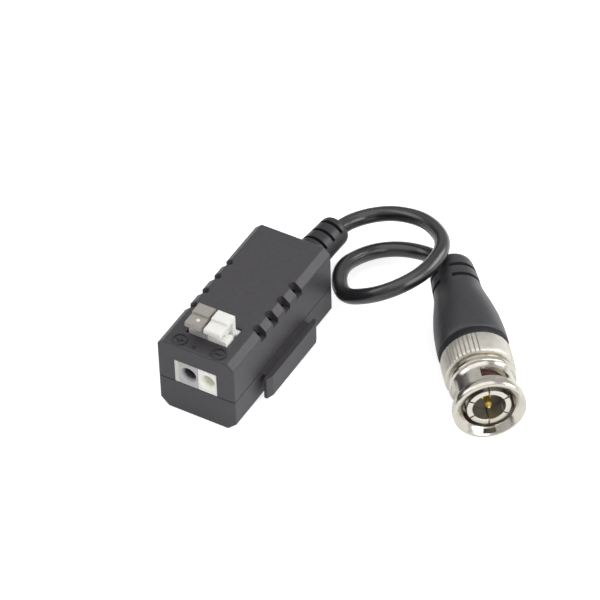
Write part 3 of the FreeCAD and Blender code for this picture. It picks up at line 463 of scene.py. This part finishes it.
def raise_mark(mesh, corners, hole=()):
    """Adds a mark to a bmesh, from its outline and, for a ring, an outline of as many corners for its
    hole."""
    low, top, hole_low, hole_top = [[mesh.verts.new((x, y, ROOF + height)) for x, y in outline]
                                    for outline in (corners, hole) for height in (-MARK_ROOT, MARK_HEIGHT)]
    for i in range(len(corners)):
        j = (i + 1) % len(corners)
        mesh.faces.new((low[i], low[j], top[j], top[i]))
        if hole:
            mesh.faces.new((hole_low[j], hole_low[i], hole_top[i], hole_top[j]))
            mesh.faces.new((top[i], top[j], hole_top[j], hole_top[i]))
    if not hole:
        mesh.faces.new(top)


marks = bmesh.new()
raise_mark(marks, circle(*DOT, DOT_RADIUS, DOT_SIDES))
for x in (PLUS_X, MINUS_X):
    raise_mark(marks, circle(x, MARK_Y, RING_OUTER), circle(x, MARK_Y, RING_INNER))
    raise_mark(marks, bar(x, MARK_Y, BAR_LENGTH, BAR_WIDTH))
for side in (-1, 1):
    raise_mark(marks, bar(PLUS_X, MARK_Y + side * ARM_OFFSET, BAR_WIDTH, ARM_LENGTH))
mark_plastic = shine("mark_plastic", paint("2E2C30"), 0.5, bump=spark_grain, height=0.00003)
placed("polarity_marks", marks, mark_plastic, "housing")

# The two screws that hold the halves together from below: small steel screws, zinc plated, in
# counterbores in the case's underside.
zinc = shine("zinc_plate", paint("9A9A9C"), 0.32, metallic=1.0, wander=0.08)
dress("screw_front", zinc)
dress("screw_back", zinc)

# The circuit board and what is soldered to it: green lacquered board, a ferrite ring wound with
# enamelled wire, a ceramic surge tube and a dipped film capacitor.
board_green = shine("board_lacquer", paint("1E4D2C"), 0.35, wander=0.12)
ferrite = shine("coated_ferrite", paint("2B2A2B"), 0.55, bump=spark_grain, height=0.00002)
enamel = shine("enamelled_wire", paint("A4572C"), 0.25, metallic=0.8)
ceramic = shine("glazed_ceramic", paint("D8D4CB"), 0.3)
dipped = shine("dipped_resin", paint("7A2E18"), 0.28, bump=faint_grain, height=0.00002)
for node, finish in (("circuit_board", board_green), ("transformer_core", ferrite),
                     ("transformer_winding", enamel), ("surge_tube", ceramic), ("film_capacitor", dipped)):
    dress(node, finish)

# The terminals: a pale grey and a white block of moulded plastic, with a thin pale end plate, and a push
# lever on each. Inside are tin-plated contacts and spring-steel cage clamps.
# ENTRY_FRONT, ENTRY_DEEP and ENTRY_TOP place the painted shade in the wire entries: where it starts, how far
# in it reaches full strength, and the height above which there is none.
ENTRY_FRONT, ENTRY_DEEP, ENTRY_TOP = -0.0188, 0.0008, 0.0135
BLOCK_EDGE, LEVER_EDGE = 0.00008, 0.00012


def painted_entry_shade(tree, place):
    """Painted shade for a block's wire entry: nought on its front face and above the entry, and one from 0.8
    mm inside the entry.
    """
    ramp = tree.node("MapRange", {}, {0: place.part("Y"), 1: ENTRY_FRONT, 2: ENTRY_FRONT + ENTRY_DEEP,
                                      3: 0.0, 4: 1.0})
    return ramp * (1.0 - (place.part("Z") > ENTRY_TOP))


def moulded(name, colour, roughness, wander=0.01, **looks):
    """A smooth plastic with a very faint grain."""
    return shine(name, paint(colour), roughness, wander=wander, bump=faint_grain, height=0.000006, **looks)


milky = {"Subsurface Weight": 0.35, "Subsurface Radius": (1.0, 0.9, 0.7), "Subsurface Scale": 0.0015}
# A painted glow: the white block gives off a faint warm light of its own, so that it looks brighter.
painted_glow = {"Emission Color": (1, 0.98, 0.88, 1), "Emission Strength": 0.08}
gray_plastic = moulded("gray_plastic", "97938C", 0.2, wander=0.03, **{"Coat Weight": 0.6})
# Painted shade: the gray block's wire entry is painted a darker grey, and the white block's entry a duller,
# yellowish white.
gray_block = moulded("gray_block", "C0BEC0", 0.36, wander=0.03, tint=(paint("646468"), painted_entry_shade))
white_plastic = moulded("white_plastic", "E3E3DF", 0.33, **milky)
white_block = moulded("white_block", "F4F4EE", 0.36, tint=(paint("EAE8DA"), painted_entry_shade), **milky, **painted_glow)
plate_plastic = moulded("plate_plastic", "DADAD2", 0.36)
tin = shine("tin_plate", paint("C9C5BC"), 0.3, metallic=1.0)
spring = shine("spring_steel", paint("B0B0AE"), 0.28, metallic=1.0)
dress("block_gray", gray_block, BLOCK_EDGE)
dress("block_white", white_block, BLOCK_EDGE)
dress("end_plate", plate_plastic, BLOCK_EDGE)
dress("lever_gray", gray_plastic, LEVER_EDGE, 3)
dress("lever_white", white_plastic, LEVER_EDGE, 3)
for node, finish in (("contact_gray", tin), ("contact_white", tin), ("clamp_gray", spring),
                     ("clamp_white", spring)):
    dress(node, finish)

# The pip: a small flat dome of paler plastic on the gray lever's front pad. It moves with the
# lever.
PIP, PIP_RADIUS, PIP_FLATNESS = (-0.00155, -0.01475, 0.02195), 0.00045, 0.3
dome = bmesh.new()
bmesh.ops.create_uvsphere(dome, u_segments=24, v_segments=12, radius=PIP_RADIUS)
bmesh.ops.scale(dome, vec=(1, 1, PIP_FLATNESS), verts=dome.verts)
bmesh.ops.translate(dome, vec=PIP, verts=dome.verts)
pale_plastic = shine("pale_pip", paint("D8D6D2"), 0.22, wander=0.03)
pip = placed("lever_pip", dome, pale_plastic, "lever_gray_arm")
pip.data.shade_smooth()

# The coupling nut: turned brass with a nickel plate, satin on the grip. Two entry notches inside the
# mouth lead to the cams, three windows are milled through the neck, and the grip is fluted in three
# groups.
PLUG_MOUTH, PLUG_HEADING = (52.72, 3.22, 7.25), -51
PLUG_AXIS = on_axis(PLUG_MOUTH, PLUG_HEADING)
PLUG_AHEAD = tuple(PLUG_AXIS.to_3x3().col[2])
NUT = [(0, 6.72), (0.04, 6.95), (0.14, 7.14), (0.34, 7.25), (1.7, 7.25), (1.88, 7.18), (1.98, 6.95),
       (2.02, 6.5), (2.14, 6.32), (2.4, 6.25), (3.6, 6.25), (6.0, 6.25), (7.2, 6.25), (7.36, 6.34),
       (7.44, 6.6), (7.56, 6.73), (7.75, 6.75), (8.3, 6.75), (8.5, 6.68), (8.62, 6.4), (8.72, 5.95),
       (9.64, 5.95), (9.74, 6.5), (9.86, 6.85), (10.0, 7.04), (10.2, 7.1), (14.7, 7.1), (14.9, 7.03),
       (15.0, 6.85)]
NUT_BORE = [(0, 6.6), (0.04, 6.54), (1.0, 5.25), (1.12, 5.2), (10.95, 5.2), (11.0, 4.06), (12.2, 4.06),
            (12.25, 5.6), (15.0, 5.6)]
WINDOWS, WINDOW_SWEEP = (8, 128, 248), 61
WINDOW_STEPS = (0, 1, 2.5, 5, 8, 12, 17, 23, 30, 38, 46, 54, WINDOW_SWEEP)
WINDOW_FRONT, WINDOW_TIP, WINDOW_BACK = 3.6, 3.85, 6.0
NOTCH_HALF, NOTCH_STEPS = 12, (-12.4, -11.6, -6, 6, 11.6, 12.4)
NOTCH_RADIUS, NOTCH_RIM, TRACK_RADIUS, TRACK_BACK = 6.3, 1.8, 6.05, 3.3
NOTCH_ROWS = {0.22, 1.78, 1.82, 3.28, 3.32}
FLUTE_STEP, FLUTE_HALF, FLUTE_BOTTOM, FLUTE_DEPTH = 7.2, 1.4, 0.1, 0.32
LEAST_STEP = 0.05
FLUTES = [181.3 + group * 120 + FLUTE_STEP * n for group in range(3) for n in range(9)]
GRIP_EDGE, GRIP_FRONT, GRIP_BACK = 9.7, 10.0, 15.0


def turning_lines(tree, place):
    """Fine rings left by the lathe: noise that changes only along the plug's axis."""
    station = tree.node("VectorMath", {"operation": "DOT_PRODUCT"}, {0: place, 1: PLUG_AHEAD}, output="Value")
    return tree.node("TexNoise", {"noise_dimensions": "1D"}, {"W": station, "Scale": 9000.0, "Detail": 2.0})


def plated(name, colour, roughness):
    """Nickel plate over the fine rings that the lathe left."""
    return shine(name, paint(colour), roughness, metallic=1.0, bump=turning_lines, height=0.0000015,
                 wander=0.05)


def nut_outside(place, angle):
    fluted = GRIP_FRONT <= place < GRIP_BACK and any(off(angle, flute) < FLUTE_BOTTOM for flute in FLUTES)
    return (along(NUT, place) - (FLUTE_DEPTH if fluted else 0)) * MM


def nut_inside(place, angle):
    r = along(NUT_BORE, place)
    if min(off(angle, 0), off(angle, 180)) < NOTCH_HALF and place < TRACK_BACK:
        r = max(r, NOTCH_RADIUS if place < NOTCH_RIM else TRACK_RADIUS)
    return r * MM


def plug_station(place, angle):
    return -place * MM


def windows_at(angle):
    return [start for start in WINDOWS if within(angle, start, WINDOW_SWEEP)]


def nut_station(place, angle):
    """The places along the nut, bent to follow the curved back edge of each window."""
    if place == WINDOW_BACK and windows_at(angle):
        share = ((angle - windows_at(angle)[0]) % 360) / WINDOW_SWEEP
        place = WINDOW_TIP + (WINDOW_BACK - WINDOW_TIP) * sqrt(1 - (1 - share) ** 2)
    return -place * MM


def nut_hole(place, angle):
    return WINDOW_FRONT < place < WINDOW_BACK and bool(windows_at(angle))


nut_angles = {180.0} | {round((centre + step) % 360, 3) for centre in (0, 180) for step in NOTCH_STEPS}
nut_angles |= {round((start + step) % 360, 3) for start in WINDOWS for step in WINDOW_STEPS}
nut_angles |= {round((flute + step) % 360, 3) for flute in FLUTES
               for step in (-FLUTE_STEP / 2, -FLUTE_HALF, 0, FLUTE_HALF)}
nut_angles = sorted(nut_angles)
nut_angles = [a for a, b in zip(nut_angles, nut_angles[1:] + [nut_angles[0] + 360]) if b - a > LEAST_STEP]
nickel = plated("satin_nickel", "CECAC0", 0.2)
nut_rows = sorted(places(NUT, NUT_BORE) | NOTCH_ROWS)
nut = turned("nut", nut_rows, nut_angles, nut_outside, nut_inside, PLUG_AXIS, nut_station, nickel,
             "nut", "coupling_nut", hole=nut_hole)
nut.data.materials.append(shine("grip_nickel", paint("D5D2C9"), 0.46, metallic=1.0, bump=faint_grain,
                                height=0.000006, wander=0.05))
to_mouth = PLUG_AXIS.inverted()
for face in nut.data.polygons:
    if (to_mouth @ face.center).z < -GRIP_EDGE * MM:
        face.material_index = 1

# The plug's body: a nickel-plated barrel whose front is a springy ground contact, sawn into six
# fingers, with a shoulder behind the gasket and a tail for the crimp.
SHELL = [(1.0, 4.28), (1.04, 4.36), (1.14, 4.4), (1.8, 4.4), (3.0, 4.22), (5.15, 4.2), (5.2, 4.0),
         (8.25, 4.0), (8.3, 5.0), (9.3, 5.0), (9.35, 4.0), (12.3, 4.0), (12.32, 3.66), (12.85, 3.66),
         (12.9, 4.0), (13.4, 4.0), (13.45, 3.6), (19.0, 3.6), (19.05, 1.4), (26.0, 1.4)]
SHELL_BORE = [(1.0, 3.36), (1.05, 3.3), (1.3, 3.3), (16.95, 3.3), (17.0, 1.0), (26.0, 1.0)]
SLITS = range(0, 360, 60)
SLIT_BACK, SLIT_HALF = 7.6, 2.3


def shell_hole(place, angle):
    return place < SLIT_BACK and any(off(angle, slit) < SLIT_HALF for slit in SLITS)


shell_angles = sorted({(slit + step) % 360 for slit in SLITS for step in (-2.4, 2.4, *range(6, 60, 6))})
shell_rows = sorted(places(SHELL, SHELL_BORE) | {SLIT_BACK})
contact_nickel = plated("contact_nickel", "D6D3CA", 0.36)
ground_contact = turned("ground_contact", shell_rows, shell_angles, plain(SHELL), plain(SHELL_BORE),
                        PLUG_AXIS, plug_station, contact_nickel, "housing", "plug_body",
                        hole=shell_hole)

# Inside the plug: a dark insulator, the pointed gold contact, a dark red gasket against the shoulder,
# and the steel washer, retaining ring and plated ferrule that the nut and boot hide.
insulator = shine("dark_insulator", paint("4E4942"), 0.5, wander=0.08, bump=faint_grain, height=0.00001)
gold = shine("gold_plate", paint("E3C868"), 0.45, metallic=1.0, wander=0.05)
gasket = shine("red_gasket", paint("48201D"), 0.45, wander=0.1, bump=faint_grain, height=0.00001)
for node, finish in (("dielectric", insulator), ("centre_pin", gold), ("gasket", gasket),
                     ("thrust_washer", spring), ("retaining_ring", spring), ("crimp_ferrule", nickel)):
    dress(node, finish)

# The wave washer between the body's flange and the thrust washer: a flat spring ring bent into three
# waves, which flattens as the nut is pulled towards the mouth.
WAVES, WAVE_MIDDLE, WAVE_RISE, WAVE_HALF = 3, 9.95, 0.44, 0.17
WAVE_OUTSIDE, WAVE_INSIDE = [(0, 4.95)], [(0, 4.15)]


def wave_station(place, angle):
    return -(WAVE_MIDDLE + place + WAVE_RISE * cos(radians(WAVES * angle))) * MM


wave_spring = turned("wave_spring", (-WAVE_HALF, WAVE_HALF), range(0, 360, 5), plain(WAVE_OUTSIDE),
                     plain(WAVE_INSIDE), PLUG_AXIS, wave_station, spring, "housing",
                     "wave_washer")
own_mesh(wave_spring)

# The boot: one soft dark grey moulding that starts narrow behind the nut's grip, steps out to its full
# width and is drawn in to a collar at the cable, where two rings of slots let it bend.
BOOT = [(15.4, 5.7), (15.45, 5.8), (16.55, 5.9), (16.75, 6.3), (16.82, 6.95), (16.95, 7.1), (17.2, 7.15),
        (18.5, 7.14), (20, 7.08), (22, 6.95), (24, 6.74), (26, 6.42), (28, 6.03), (30, 5.57), (31.5, 5.22),
        (33, 4.98), (34.5, 4.9), (36, 4.85), (37.5, 4.75), (39, 4.62), (40, 4.5), (40.7, 4.36),
        (41.05, 4.15), (41.2, 3.8)]
BOOT_BORE = [(15.4, 4.9), (16.6, 3.65), (19.05, 3.65), (19.1, 2.15), (27.4, 2.15), (27.5, 1.62),
             (39.0, 1.62), (41.2, 1.92)]
BOOT_RINGS = (34.3, 37.4)
BOOT_SLOT_HALF, BOOT_SLOT_DEPTH, BOOT_SLOT_SWEEP = 0.42, 3.5, 148
BOOT_SLOTS = (45, 225)
boot_edges = [start + sweep for start in BOOT_SLOTS for sweep in (0, BOOT_SLOT_SWEEP)]
boot_rows = sorted(places(BOOT, BOOT_BORE) | slot_rows(BOOT_RINGS, BOOT_SLOT_HALF))
boot_outside = slotted(BOOT, BOOT_RINGS, BOOT_SLOT_HALF, BOOT_SLOT_DEPTH, BOOT_SLOTS, BOOT_SLOT_SWEEP)
boot_rubber = shine("boot_rubber", paint("333336"), 0.38, bump=faint_grain, height=0.000008)
boot = turned("boot_cover", boot_rows, around(5, *boot_edges), boot_outside, plain(BOOT_BORE), PLUG_AXIS,
              plug_station, boot_rubber, "housing", "boot")
